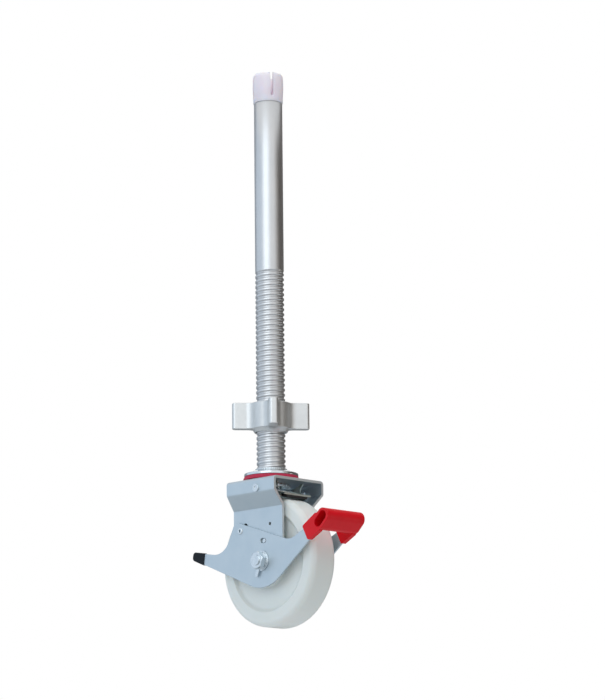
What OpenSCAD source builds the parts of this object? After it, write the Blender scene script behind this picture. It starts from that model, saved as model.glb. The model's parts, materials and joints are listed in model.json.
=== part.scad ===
// Scaffold castor: threaded leveling stem, star collar nut, pressed fork, nylon wheel and a
// foot brake that stops the wheel and the swivel together.
// Origin: on the stem axis, where the thread ends and the plain shank begins. +Z runs up the
// shank, +X points to the pedal, and Y runs along the axle.

/* [Stem] */
// Outside diameter of the stem tube
tube_d = 45; // [42:0.5:48]
// Wall of the stem tube
tube_wall = 4; // [3:0.5:6]
// Length of the plain shank that goes up into the frame leg
shank_len = 271; // [150:1:400]
// Length of the threaded stretch below the plain shank
thread_len = 317; // [200:1:420]
// Rise of one thread
thread_pitch = 8; // [6:0.5:12]
// Depth of the thread
thread_depth = 1.7; // [1:0.1:2.5]
// Largest diameter of the springy plug at the top
plug_d = 48.6; // [46:0.2:54]
// Height of the plug above the tube
plug_h = 46; // [30:1:60]
// Wall of the plug's fingers
plug_wall = 5; // [3:0.5:7]
// Width of the slots between the fingers
plug_slot = 4; // [2:0.5:6]
// Number of slots
plug_slots = 4; // [2:1:6]
// How deep the plug goes into the tube
plug_inside = 34; // [15:1:60]

/* [Collar nut] */
// Distance from the axis to the tip of a lobe
nut_reach = 60; // [52:0.5:70]
// Height of the collar nut
nut_h = 41; // [25:1:60]
// Width of a lobe at its rounded tip
lobe_w = 13; // [10:0.5:18]
// Distance from the axis to the bottom of a flute
flute_r = 33; // [30:0.5:38]
// Height of the nut's underside above the lower end of the thread
nut_up = 64; // [10:1:150]
// Turn of the lobes about the stem
nut_turn = 50; // [0:1:89]
// Radial play between the thread's crest and the nut
nut_play = 0.08; // [0.03:0.01:0.1]

/* [Swivel head] */
// Diameter of the cone-shaped head cup
cup_d = 84; // [78:0.5:90]
// Height of the head cup's cone
cup_h = 8; // [6:0.5:12]
// Outside diameter of the seal ring
seal_d = 88; // [86:0.5:96]
// Height of the seal ring
seal_h = 9; // [8:0.5:12]
// Gap between the seal ring and the fork's crown
seal_gap = 2; // [1:0.5:4]
// Diameter of the swivel balls
ball_d = 8; // [6:0.5:8]
// Radius of the circle that the swivel balls run on
ball_ring_r = 27; // [25:0.5:28]
// Number of swivel balls
ball_count = 18; // [10:1:18]
// Diameter of the kingpin
kingpin_d = 16; // [12:0.5:18]
// Height of the welded foot inside the stem
foot_h = 32; // [20:1:60]
// Radius of the toothed swivel lock ring
lock_ring_r = 30; // [28:0.5:32]
// Number of teeth on the lock ring
lock_teeth = 24; // [16:4:28]
// Thickness of the lock ring
lock_ring_t = 4; // [3:0.5:5]

/* [Fork] */
// Thickness of the pressed steel
fork_t = 4; // [3:0.5:5]
// Outside width of the fork at the crown
crown_w = 107; // [104:0.5:116]
// How far the crown reaches behind the stem axis
crown_back = 44; // [44:0.5:55]
// How far the crown reaches in front of the stem axis
crown_front = 60; // [56:0.5:66]
// Outside width of the fork at the wheel
cheek_w = 66.4; // [66:0.2:72]
// Height of the crown's top over the axle
crown_over_axle = 126; // [124:0.5:140]
// Depth from the crown's top to the upper bend of the cheek
bend_top = 22; // [16:0.5:26]
// Depth from the crown's top to the lower bend of the cheek
bend_low = 44; // [40:0.5:50]
// Inside radius of the bends
bend_r = 2; // [1.5:0.5:6]
// How far the cheek reaches behind the stem axis
cheek_back = 49.5; // [47:0.5:52]
// How far the cheek reaches in front of the stem axis
cheek_front = 57; // [54:0.5:60]
// Offset of the axle in front of the stem axis
axle_x = 15; // [13:0.5:17]

/* [Wheel] */
// Diameter of the wheel
wheel_d = 200; // [190:1:202]
// Width of the wheel
wheel_w = 50; // [44:0.5:50]
// Radius of the tread's shoulders
shoulder_r = 9.5; // [6:0.5:12]
// Width of the flat ring beside the shoulder
rim_w = 13; // [8:0.5:20]
// Depth of the dish in the wheel's sides
dish = 5; // [2:0.5:10]
// Diameter of the hub
hub_d = 66; // [62:1:80]
// Outside diameter of a ball bearing
bearing_d = 47; // [44:1:52]
// Bore of a ball bearing
bearing_bore = 20; // [18:1:22]
// Width of a ball bearing
bearing_w = 14; // [12:1:16]

/* [Axle] */
// Diameter of the axle bolt
axle_d = 16; // [12:0.5:16]
// Width across the flats of the axle's hexagons
axle_hex = 24; // [22:0.5:27]
// Height of the bolt head and of the lock nut
axle_hex_h = 9; // [7:0.5:13]
// Diameter of the washers
axle_washer_d = 31; // [30:0.5:36]
// Thickness of the washers
axle_washer_t = 2; // [1.5:0.5:3]
// Diameter of the bushes that the brake plates turn on
pivot_d = 28; // [24:0.5:29]
// Reach of the lock washer's tab from the axle
tab_reach = 26; // [20:0.5:30]

/* [Brake] */
// Thickness of a brake plate
plate_t = 3; // [2:0.5:4]
// Distance of the release tail's end behind the axle
tail_reach = 151; // [140:1:165]
// Height of the release tail's top edge over the axle
tail_up = 27; // [22:0.5:34]
// Width of the release tail at its end
tail_w = 11; // [8:0.5:20]
// Depth of the brake plate's lower edge below the axle
plate_drop = 49.5; // [46:0.5:60]
// Angle that the pedal goes down
pedal_swing = 9; // [6:0.5:12]
// Angle that the brake lever turns with it
lever_swing = 5; // [3:0.5:5.5]
// Distance of the lever pin in front of the stem axis
pin_x = 21; // [20.5:0.5:24]
// Depth of the lever pin below the crown's top
pin_down = 16; // [15.5:0.5:17]
// Diameter of the lever pin
pin_d = 8; // [6:0.5:8]
// Distance of the drive rivet from the axle
drive_r = 69; // [66:0.5:72]
// Angle of the drive rivet above the pedal side
drive_a = 133; // [128:0.5:136]
// Diameter of the drive rivet
drive_d = 8; // [6:0.5:9]
// Thickness of the lever's sheet
lever_t = 2.5; // [2:0.5:2.5]
// Thickness of the brake shoe's rubber
shoe_t = 4; // [2:0.5:4]
// Width of the brake shoe
shoe_w = 44; // [30:1:48]
// Width of the pedal over its side faces
pedal_w = 80; // [79:1:100]
// Length of the pedal tube's oval section
pedal_long = 36; // [32:0.5:44]
// Width of the pedal tube's oval section
pedal_short = 23; // [18:0.5:26]
// Wall of the pedal moulding
pedal_wall = 4; // [2.5:0.5:6]
// Tilt of the oval section
pedal_tilt = 44; // [30:1:60]
// Distance of the pedal tube in front of the stem axis
pedal_x = 144; // [138:0.5:150]
// Height of the pedal tube over the axle
pedal_up = 51; // [46:0.5:56]
// Length of the grip cap on the release tail
cap_len = 25; // [18:1:36]
// Thickness of the grip cap's wall
cap_wall = 1; // [0.8:0.1:3]

/* [Hidden] */
$fn = 72;
fit = 0.05;
run = 0.05;
face_gap = 0.3;

plain_r = tube_d / 2;
tube_r = plain_r - tube_wall;
cup_top = -thread_len;
cup_low = cup_top - cup_h;
seal_low = cup_low - seal_h;
crown_top = seal_low - seal_gap;
crown_low = crown_top - fork_t;
axle_z = crown_top - crown_over_axle;
wheel_r = wheel_d / 2;
half_wheel = wheel_w / 2;

race_h = seal_gap + seal_h - ball_d / 2 - 1;
ball_z = crown_top + race_h + 1;
race_in = ball_ring_r - ball_d / 2 - 3;
race_out = ball_ring_r + ball_d / 2 + 3;
groove_r = ball_d / 2 + run;
bush_flange = 2;
kingpin_r = kingpin_d / 2;
bush_r = kingpin_r + 4;
thrust_t = 0.8;
lock_top = crown_low - 0.2 - thrust_t;
lock_low = lock_top - lock_ring_t;
notch_depth = 4.5;
notch_w = PI * lock_ring_r / lock_teeth + 0.8;
king_washer_t = 2.5;
king_nut_h = 11;
king_hex = kingpin_d * 1.5;
king_nut_low = lock_low - king_washer_t - king_nut_h;

cheek_out = cheek_w / 2;
cheek_in = cheek_out - fork_t;
crown_out = crown_w / 2;
bend_1 = crown_top - bend_top;
bend_2 = crown_top - bend_low;
slant = atan2(crown_out - cheek_out, bend_1 - bend_2);
bend_shift = fork_t * tan(slant / 2);
foot_r = 24;

axle_r = axle_d / 2;
sleeve_r = bearing_bore / 2 - fit;
plate_in = cheek_out + face_gap;
plate_out = plate_in + plate_t;
pivot_end = plate_out + face_gap;
washer_end = pivot_end + axle_washer_t;
tab_t = 1.5;
tab_w = 6;
tab_turn = 248;
hex_start = washer_end + tab_t;

pin_r = pin_d / 2;
pin_z = crown_top - pin_down;
pin_head_r = pin_r + 2.2;
pin_head_t = 2.4;
collar_t = 4;
collar_end = crown_out - fork_t - 2.6;
drive_rr = drive_d / 2;
drive_x = axle_x + drive_r * cos(drive_a);
drive_z = axle_z + drive_r * sin(drive_a);
lever_in = half_wheel + 1;
lever_out = lever_in + lever_t;
lever_gap = 0.5;
stop_ring = 31;
stop_rr = 3.2;
stop_a = 80;
stop_room = 0.6;
tooling_hole_r = 2.6;
tooling_x = 30;
tooling_z = bend_2 - 26;

edge_r = 3;
tail_r = 4.5;
leg_lip = 1.5;
nut_hub_h = 5;
nut_hub_r = 27;
collar_r = plain_r + 0.8;
neck_back = 83;
neck_up = 16;
neck_r = 32;
hump_back = 12;
hump_up = 15.5;
hump_r = 10;
arm_x = 60;
arm_up = 26.5;
arm_r = 28;
tongue_back = 24;
tongue_top = 5;
tongue_low = 22;
belly_x = 8;
belly_r = 60;
mouth_tilt = 9;
pedal_z = axle_z + pedal_up;
leg_back = 38;
leg_top = 7.5;
leg_low = 30;

bearing_mid = (bearing_d + bearing_bore) / 4;
bearing_ball = (bearing_d - bearing_bore) * 0.29;
ring_wall = (bearing_d - bearing_bore) * 0.13;
bearing_y = half_wheel - bearing_w / 2;
bearing_count = 8;
seal_t = 1;

foot_back = 7;
foot_front = 3;
foot_rest = swung([drive_x, drive_z], [pin_x, pin_z], 0);
foot_end = swung(swung([drive_x, drive_z], [axle_x, axle_z], pedal_swing), [pin_x, pin_z], -lever_swing);
foot_dir = unit(foot_end - foot_rest);
foot_up = [-foot_dir.y, foot_dir.x];
foot_a = foot_rest + foot_up * (drive_rr + lever_gap) - foot_dir * foot_back;
foot_b = foot_end + foot_up * (drive_rr + lever_gap) + foot_dir * foot_front;
lever_drop = 14;
nose_x = pin_x + 27;
nose_drop = 6;
horn_x = pin_x + 17;
horn_w = 5;
horn_top = crown_low - 0.4;
shoe_in = wheel_r + 0.4;
shoe_a0 = 67;
shoe_a1 = 83;
pawl_x = -lock_ring_r + 2.2;
pawl_w = notch_w - 1.2;
web_z = pin_z - 7;

spring_wire = 1.8;
spring_turns = 7;
spring_pitch = 2.1;
spring_y = 16;
spring_r = pin_r + spring_wire / 2 + 0.4;

// Points of a round corner of radius r at b, on the way from a to c
function unit(v) = v / norm(v);
function corner(a, b, c, r, n) =
    let (u = unit(a - b), w = unit(c - b), half = acos(u * w) / 2,
         m = b + unit(u + w) * r / sin(half),
         s = b + u * r / tan(half), e = b + w * r / tan(half),
         start = atan2(s.y - m.y, s.x - m.x),
         turn = (atan2(e.y - m.y, e.x - m.x) - start + 540) % 360 - 180)
    [for (k = [0 : n]) m + r * [cos(start + turn * k / n), sin(start + turn * k / n)]];

// Closed outline through corners given as [x, y, corner radius]
function outline(v, n = 8) =
    [for (i = [0 : len(v) - 1])
        let (p = v[(i + len(v) - 1) % len(v)], q = v[i], s = v[(i + 1) % len(v)])
        each (q.z > 0 ? corner([p.x, p.y], [q.x, q.y], [s.x, s.y], q.z, n) : [[q.x, q.y]])];

// A point turned in the side view about a centre, clockwise when the angle is positive
function swung(p, c, a) =
    c + [(p - c).x * cos(a) + (p - c).y * sin(a), (p - c).y * cos(a) - (p - c).x * sin(a)];

// Lifts a drawing of the side view (X across, Z up) and gives it width from y0 to y1
module from_side(y0, y1) translate([0, y1, 0]) rotate([90, 0, 0]) linear_extrude(y1 - y0) children();
// A hexagon with its corners chamfered at both faces, for bolt heads and nuts
module hexagon(flats, h) intersection() {
    cylinder(d = flats / cos(30), h = h, $fn = 6);
    rotate_extrude() polygon([[0, 0], [flats * 0.49, 0], [flats * 0.58, flats * 0.05],
                              [flats * 0.58, h - flats * 0.05], [flats * 0.49, h], [0, h]]);
}
module both_sides() { children(); mirror([0, 1, 0]) children(); }
module tube(r, bore, z0, z1) translate([0, 0, z0]) difference() {
    cylinder(r = r, h = z1 - z0);
    translate([0, 0, -1]) cylinder(r = bore, h = z1 - z0 + 2);
}
// A turned piece on the axle, from y0 to y1
module on_axle(y0, y1, r, bore) translate([axle_x, y1, axle_z]) rotate([90, 0, 0]) tube(r, bore, 0, y1 - y0);
// Pieces of the brake lever, drawn where the lever holds the wheel and swung back to rest
module lever_rest() translate([pin_x, 0, pin_z]) rotate([0, -lever_swing, 0])
    translate([-pin_x, 0, -pin_z]) children();

// Stem
module stem_tube() color("silver") rotate_extrude() polygon(concat(
    [[tube_r, shank_len], [tube_r, cup_top]],
    [for (z = [cup_top : thread_pitch : -thread_pitch + 0.01]) each
        [[plain_r - thread_depth, z], [plain_r - thread_depth, z + thread_pitch * 0.3],
         [plain_r - thread_depth * 0.25, z + thread_pitch * 0.48], [plain_r, z + thread_pitch * 0.6],
         [plain_r, z + thread_pitch * 0.7], [plain_r - thread_depth * 0.25, z + thread_pitch * 0.82]]],
    [[plain_r - thread_depth, 0], [plain_r, 0], [plain_r, shank_len]]));

module stem_plug() color("mistyrose") difference() {
    rotate_extrude() polygon(concat(
        [[tube_r - fit, shank_len - plug_inside], [tube_r - fit, shank_len], [collar_r, shank_len]],
        [[plug_d / 2 - 0.5, shank_len + plug_h * 0.22], [plug_d / 2, shank_len + plug_h * 0.55],
         [plug_d / 2 - 0.4, shank_len + plug_h * 0.84]],
        [for (a = [30 : 20 : 90]) [plug_d / 2 - 4 + 3.6 * cos(a), shank_len + plug_h - 4 + 4 * sin(a)]],
        [[plug_d / 2 - plug_wall - 1, shank_len + plug_h], [tube_r - plug_wall, shank_len + plug_h * 0.2],
         [tube_r - plug_wall, shank_len - plug_inside]]));
    for (k = [0 : plug_slots - 1]) rotate(k * 360 / plug_slots - 29)
        translate([0, -plug_slot / 2, shank_len + plug_h * 0.32]) cube([plug_d, plug_slot, plug_h]);
}

module stem_foot() color("gray") tube(tube_r - fit, kingpin_r + fit, cup_top, cup_top + foot_h);

module collar_nut() {
    tip = lobe_w / 2;
    reach = nut_reach - tip;
    c = (reach * reach - pow(tip - flute_r, 2)) / (2 * (reach * cos(45) - flute_r + tip));
    flute = [c * cos(45), c * sin(45)];
    rf = c - flute_r;
    touch = [reach, 0] + tip * unit(flute - [reach, 0]);
    nut_low = cup_top + nut_up;
    color("silver") translate([0, 0, nut_low]) rotate(nut_turn) difference() {
        union() {
            linear_extrude(nut_h) union() {
                difference() {
                    polygon([for (k = [0 : 3]) each [for (s = [-1, 1])
                        let (p = [touch.x, s * touch.y]) [p.x * cos(k * 90) - p.y * sin(k * 90),
                                                          p.x * sin(k * 90) + p.y * cos(k * 90)]]]);
                    for (k = [0 : 3]) rotate(k * 90) translate(flute) circle(r = rf, $fn = 180);
                }
                for (k = [0 : 3]) rotate(k * 90) translate([reach, 0]) circle(r = tip, $fn = 48);
            }
            translate([0, 0, -nut_hub_h]) cylinder(r1 = nut_hub_r, r2 = flute_r - 1, h = nut_hub_h + 1);
        }
        translate([0, 0, -nut_hub_h - 1]) cylinder(r = plain_r + nut_play, h = nut_h + nut_hub_h + 2);
        translate([0, 0, nut_h - 2]) cylinder(r1 = plain_r, r2 = plain_r + 2.1, h = 2.1);
        translate([0, 0, -nut_hub_h - 0.1]) cylinder(r1 = plain_r + 2.1, r2 = plain_r, h = 2.1);
    }
}

// Swivel head
module kingpin() color("gray") {
    translate([0, 0, king_nut_low - 1]) cylinder(r = kingpin_r, h = cup_top + foot_h - king_nut_low + 2);
    translate([0, 0, cup_top + foot_h]) cylinder(r = kingpin_r + 6, h = 8);
}

module head_cup() color("gainsboro") rotate_extrude() difference() {
    polygon([[kingpin_r + fit, cup_top], [plain_r + 1.5, cup_top], [cup_d / 2, cup_low + 1.6],
             [cup_d / 2, cup_low], [race_out, cup_low], [race_out, ball_z + 1], [kingpin_r + fit, ball_z + 1]]);
    translate([ball_ring_r, ball_z]) circle(r = groove_r, $fn = 32);
}

module seal_ring() color("crimson") tube(seal_d / 2, race_out + 1.5, seal_low, cup_low);

module crown_race() color("silver") rotate_extrude() difference() {
    translate([race_in, crown_top]) square([race_out - race_in, race_h]);
    translate([ball_ring_r, ball_z]) circle(r = groove_r, $fn = 32);
}

module swivel_balls() color("white") for (k = [0 : ball_count - 1]) rotate(k * 360 / ball_count)
    translate([ball_ring_r, 0, ball_z]) sphere(d = ball_d, $fn = 24);

module swivel_bush() color("peru") difference() {
    union() {
        translate([0, 0, crown_low]) cylinder(r = bush_r - fit, h = fork_t + 1);
        translate([0, 0, crown_top]) cylinder(r = race_in - 1, h = bush_flange);
    }
    translate([0, 0, crown_low - 1]) cylinder(r = kingpin_r + run, h = fork_t + bush_flange + 2);
}

module thrust_washer() color("peru")
    tube(lock_ring_r - notch_depth - 1, kingpin_r + fit, lock_top, lock_top + thrust_t);

module lock_ring() color("gainsboro") translate([0, 0, lock_low]) difference() {
    cylinder(r = lock_ring_r, h = lock_ring_t);
    translate([0, 0, -1]) cylinder(r = kingpin_r + fit, h = lock_ring_t + 2);
    for (k = [0 : lock_teeth - 1]) rotate(k * 360 / lock_teeth)
        translate([lock_ring_r - notch_depth, -notch_w / 2, -1]) cube([notch_depth + 2, notch_w, lock_ring_t + 2]);
}

module kingpin_washer() color("silver") tube(kingpin_r * 2, kingpin_r + fit, lock_low - king_washer_t, lock_low);

module kingpin_nut() color("silver") translate([0, 0, king_nut_low]) difference() {
    hexagon(king_hex, king_nut_h);
    translate([0, 0, -1]) cylinder(r = kingpin_r + fit, h = king_nut_h + 2);
}

// Fork
module fork_section() {
    half = [[crown_out, crown_top, bend_r + fork_t], [crown_out, bend_1, bend_r + fork_t],
            [cheek_out, bend_2, bend_r], [cheek_out, axle_z - 60, 0], [cheek_in, axle_z - 60, 0],
            [cheek_in, bend_2 + bend_shift, bend_r + fork_t], [crown_out - fork_t, bend_1 + bend_shift, bend_r],
            [crown_out - fork_t, crown_low, bend_r]];
    polygon(outline(concat(half, [for (i = [len(half) - 1 : -1 : 0]) [-half[i].x, half[i].y, half[i].z]])));
}

module fork() color("lightsteelblue") difference() {
    intersection() {
        translate([-crown_back - 20, 0, 0]) rotate([90, 0, 90])
            linear_extrude(crown_back + crown_front + 40) fork_section();
        from_side(-crown_w, crown_w) polygon(outline([
            [-crown_back, crown_top + 5, 0], [crown_front, crown_top + 5, 0], [crown_front, bend_1, 6],
            [cheek_front, bend_2, 8], [cheek_front, axle_z + 28, 18],
            [axle_x + foot_r, axle_z - foot_r - 4, foot_r - 4],
            [axle_x - foot_r, axle_z - foot_r - 4, foot_r - 4], [-cheek_back, axle_z + 28, 18],
            [-cheek_back, bend_2, 8], [-crown_back, bend_1, 6]]));
    }
    translate([0, 0, crown_low - 1]) cylinder(r = bush_r, h = fork_t + 2);
    translate([axle_x, crown_w, axle_z]) rotate([90, 0, 0]) cylinder(r = axle_r + fit, h = 2 * crown_w);
    translate([pin_x, crown_w, pin_z]) rotate([90, 0, 0]) cylinder(r = pin_r + fit, h = 2 * crown_w);
    translate([axle_x + stop_ring * cos(stop_a), crown_w, axle_z + stop_ring * sin(stop_a)]) rotate([90, 0, 0])
        cylinder(r = stop_rr + fit, h = 2 * crown_w, $fn = 32);
    translate([tooling_x, crown_w, tooling_z]) rotate([90, 0, 0])
        cylinder(r = tooling_hole_r, h = 2 * crown_w, $fn = 32);
    from_side(-crown_w, crown_w) ring_slot(drive_r, drive_rr + 0.6, drive_a - pedal_swing, drive_a);
}

// Points of a piece of a ring between the radii r0 and r1 and the angles a0 and a1
function ring_piece(r0, r1, a0, a1, n = 12) = concat(
    [for (k = [0 : n]) let (a = a0 + (a1 - a0) * k / n) r1 * [cos(a), sin(a)]],
    [for (k = [n : -1 : 0]) let (a = a0 + (a1 - a0) * k / n) r0 * [cos(a), sin(a)]]);
// Slot round the axle, of half width w, with round ends at the angles a0 and a1
module ring_slot(r, w, a0, a1, n = 12) translate([axle_x, axle_z]) polygon(concat(
    [for (k = [0 : n]) let (a = a0 + (a1 - a0) * k / n) (r + w) * [cos(a), sin(a)]],
    [for (k = [1 : 7]) let (t = 180 * k / 8) r * [cos(a1), sin(a1)] + w * [cos(a1 + t), sin(a1 + t)]],
    [for (k = [n : -1 : 0]) let (a = a0 + (a1 - a0) * k / n) (r - w) * [cos(a), sin(a)]],
    [for (k = [1 : 7]) let (t = 180 * k / 8) r * [cos(a0), sin(a0)] - w * [cos(a0 + t), sin(a0 + t)]]));

module stop_studs() color("silver") both_sides()
    translate([axle_x + stop_ring * cos(stop_a), 1 - cheek_in, axle_z + stop_ring * sin(stop_a)]) rotate([90, 0, 0])
        cylinder(r = stop_rr, h = plate_out - cheek_in + 1.4, $fn = 32);

// Axle
module axle_bolt() color("silver") translate([axle_x, 0, axle_z]) rotate([90, 0, 0]) {
    translate([0, 0, -washer_end]) cylinder(r = axle_r, h = washer_end + hex_start + axle_hex_h + 2);
    translate([0, 0, -washer_end - axle_hex_h]) hexagon(axle_hex, axle_hex_h);
}

module axle_nut() color("silver") translate([axle_x, -hex_start, axle_z]) rotate([90, 0, 0]) rotate(12) difference() {
    hexagon(axle_hex, axle_hex_h);
    translate([0, 0, -1]) cylinder(r = axle_r + fit, h = axle_hex_h + 2);
}

module axle_washers() color("silver") both_sides()
    on_axle(pivot_end, washer_end, axle_washer_d / 2, axle_r + fit);

module tab_washer() color("silver") translate([axle_x, -washer_end, axle_z]) rotate([90, 0, 0]) difference() {
    union() {
        cylinder(r = axle_hex / 2 + 2, h = tab_t);
        rotate(tab_turn) translate([0, -tab_w / 2, 0]) cube([tab_reach - tab_w / 2, tab_w, tab_t]);
        rotate(tab_turn) translate([tab_reach - tab_w / 2, 0, 0]) cylinder(d = tab_w, h = tab_t, $fn = 32);
    }
    translate([0, 0, -1]) cylinder(r = axle_r + fit, h = tab_t + 2);
}

module axle_sleeve() color("gray") on_axle(-cheek_in, cheek_in, sleeve_r, axle_r + fit);

module pivot_bushes() color("peru") both_sides() on_axle(cheek_out, pivot_end, pivot_d / 2, axle_r + fit);

// Wheel
module wheel() color("ivory") {
    rim_in = wheel_r - shoulder_r - rim_w;
    dish_y = half_wheel - dish;
    half = [[wheel_r, half_wheel, shoulder_r], [rim_in, half_wheel, 2], [rim_in - dish, dish_y, 6],
            [hub_d / 2 + dish, dish_y, 6], [hub_d / 2, half_wheel, 1.5], [bearing_d / 2 + fit, half_wheel, 0],
            [bearing_d / 2 + fit, half_wheel - bearing_w, 0], [sleeve_r + 3, half_wheel - bearing_w, 0]];
    translate([axle_x, 0, axle_z]) rotate([90, 0, 0]) rotate_extrude($fn = 128)
        polygon(outline(concat(half, [for (i = [len(half) - 1 : -1 : 0]) [half[i].x, -half[i].y, half[i].z]])));
}

// One ring of a ball bearing, with its groove, on the axle at both ends of the hub
module bearing_ring(r0, r1) both_sides()
    translate([axle_x, bearing_y, axle_z]) rotate([90, 0, 0]) rotate_extrude() difference() {
        translate([r0, -bearing_w / 2]) square([r1 - r0, bearing_w]);
        translate([bearing_mid, 0]) circle(d = bearing_ball + 2 * run, $fn = 32);
    }

module bearing_outer() color("silver") bearing_ring(bearing_d / 2 - ring_wall, bearing_d / 2);
module bearing_inner() color("silver") bearing_ring(bearing_bore / 2, bearing_bore / 2 + ring_wall);
module bearing_balls() color("white") both_sides() translate([axle_x, bearing_y, axle_z]) rotate([90, 0, 0])
    for (k = [0 : bearing_count - 1]) rotate(k * 360 / bearing_count)
        translate([bearing_mid, 0, 0]) sphere(d = bearing_ball, $fn = 24);
module bearing_seals() color("dimgray") both_sides()
    on_axle(half_wheel - seal_t - 0.2, half_wheel - 0.2, bearing_d / 2 - ring_wall - fit,
            bearing_bore / 2 + ring_wall + face_gap);

// Brake rocker
module plate_outline() polygon(outline([
    [axle_x - tail_reach, axle_z + tail_up, tail_r], [axle_x - neck_back, axle_z + neck_up, neck_r],
    [drive_x - hump_back, drive_z + hump_up, hump_r], [axle_x + arm_x, axle_z + arm_up, arm_r],
    [pedal_x - tongue_back, pedal_z - tongue_top, edge_r],
    [pedal_x - tongue_back * 0.75, pedal_z - tongue_low, edge_r],
    [axle_x + belly_x, axle_z - plate_drop, belly_r],
    [axle_x - tail_reach - 2, axle_z + tail_up - tail_w, tail_r]], 12));

module brake_plate() difference() {
    from_side(-plate_out, -plate_in) plate_outline();
    translate([axle_x, 0, axle_z]) rotate([90, 0, 0]) cylinder(r = pivot_d / 2 + run, h = 2 * plate_out);
    translate([drive_x, 0, drive_z]) rotate([90, 0, 0]) cylinder(r = drive_rr + fit, h = 2 * plate_out, $fn = 32);
    from_side(-plate_out - 1, -plate_in + 1)
        ring_slot(stop_ring, stop_rr + stop_room, stop_a, stop_a + pedal_swing);
}
module brake_plate_near() color("lightsteelblue") brake_plate();
module brake_plate_far() color("lightsteelblue") mirror([0, 1, 0]) brake_plate();

module drive_rivets() color("silver") both_sides() translate([drive_x, 0, drive_z]) rotate([90, 0, 0]) difference() {
    union() {
        translate([0, 0, lever_in + 0.2]) cylinder(r = drive_rr, h = plate_out - lever_in, $fn = 32);
        translate([0, 0, plate_out]) cylinder(r1 = drive_rr + 1.6, r2 = drive_rr + 0.6, h = 1.6, $fn = 32);
    }
    translate([0, 0, plate_out - 4]) cylinder(r = drive_rr * 0.5, h = 8, $fn = 32);
}

// Grip cap that is pushed over the tail of each brake plate
module tail_caps() color("black") both_sides() difference() {
    from_side(-plate_out - cap_wall, -plate_in + cap_wall) intersection() {
        offset(delta = cap_wall) plate_outline();
        translate([axle_x - tail_reach, axle_z + tail_up]) rotate(-mouth_tilt)
            translate([-cap_len, -3 * cap_len]) square([2 * cap_len, 4 * cap_len]);
    }
    from_side(-plate_out - fit, -plate_in + fit) plate_outline();
}

// Pedal moulding: an oval tube across, open at its ends, with a leg that takes each plate
module pedal_oval(wall) translate([pedal_x, pedal_z]) rotate(pedal_tilt) union() {
    long = pedal_long / 2 - wall;
    short = pedal_short / 2 - wall;
    square([2 * (long - short), 2 * short], center = true);
    for (s = [-1, 1]) translate([s * (long - short), 0]) circle(r = short, $fn = 48);
}
module pedal_leg() polygon(outline([
    [pedal_x - leg_back, pedal_z - leg_top, edge_r], [pedal_x - leg_back * 0.7, pedal_z - leg_low, edge_r],
    [pedal_x - edge_r, pedal_z - pedal_short * 0.77, 8], [pedal_x + pedal_short * 0.27, pedal_z - 2, 4],
    [pedal_x - pedal_short * 0.36, pedal_z + pedal_short / 2, 6]]));
module brake_pedal() color("red") difference() {
    union() {
        from_side(-pedal_w / 2, pedal_w / 2) pedal_oval(0);
        both_sides() from_side(-pedal_w / 2, -plate_in + leg_lip) pedal_leg();
    }
    from_side(-pedal_w, pedal_w) pedal_oval(pedal_wall);
    both_sides() from_side(-plate_out - fit, -plate_in + fit) plate_outline();
}

// Brake lever
module lever_side() polygon(outline([
    [foot_a.x, foot_a.y, 2], [foot_b.x, foot_b.y, 4], [pin_x - 2, pin_z - lever_drop, 10],
    [nose_x, pin_z - lever_drop, 3], [nose_x, pin_z - nose_drop, 4], [pin_x + 10, pin_z - 2, 6],
    [horn_x + horn_w, horn_top, 1], [horn_x, horn_top, 1], [pin_x + 4, pin_z + 6, 4],
    [pin_x - pin_d, pin_z + 5.2, 2], [-lock_ring_r / 2, pin_z + 2.2, 4], [-lock_ring_r, pin_z + 2, 6],
    [foot_a.x - 2, pin_z - 5, 8]]));
module lever_ring(r0, r1) translate([axle_x, axle_z]) polygon(ring_piece(r0, r1, shoe_a0, shoe_a1));
module brake_lever() color("silver") difference() {
    union() {
        both_sides() from_side(-lever_out, -lever_in) lever_side();
        lever_rest() from_side(-lever_out, lever_out) lever_ring(shoe_in + shoe_t, shoe_in + shoe_t + lever_t);
        translate([foot_a.x, -lever_out, web_z]) cube([pawl_x + 1.5 - foot_a.x, 2 * lever_out, lever_t]);
        translate([pawl_x - 1.5, -pawl_w / 2, web_z]) cube([3, pawl_w, lock_low - 0.6 - web_z]);
    }
    translate([pin_x, crown_w, pin_z]) rotate([90, 0, 0]) cylinder(r = pin_r + run, h = 2 * crown_w);
}
module brake_shoe() color("dimgray") lever_rest()
    from_side(-shoe_w / 2, shoe_w / 2) lever_ring(shoe_in, shoe_in + shoe_t);

module lever_pin() color("silver") translate([pin_x, 0, pin_z]) rotate([90, 0, 0]) {
    translate([0, 0, -crown_out]) cylinder(r = pin_r, h = 2 * crown_out);
    for (s = [-1, 1]) translate([0, 0, s > 0 ? crown_out : -crown_out - pin_head_t]) difference() {
        cylinder(r = pin_head_r, h = pin_head_t, $fn = 32);
        translate([0, 0, s > 0 ? pin_head_t - 1.2 : -1]) cylinder(r = pin_head_r * 0.45, h = 2.2, $fn = 32);
    }
}
module pin_collars() color("silver") both_sides() translate([pin_x, 0, pin_z]) rotate([90, 0, 0])
    tube(pin_r + 3, pin_r + fit, collar_end - collar_t, collar_end);

// Torsion spring round the lever pin, a wire of eight sides
module return_spring() color("silver") translate([pin_x, -spring_y, pin_z]) rotate([90, 0, 0])
    wire([for (k = [0 : spring_turns * 16]) let (a = 90 + k * 22.5)
        [spring_r * cos(a), spring_r * sin(a), spring_pitch * (k / 16 - spring_turns / 2)]], spring_wire / 2, 8);

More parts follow.
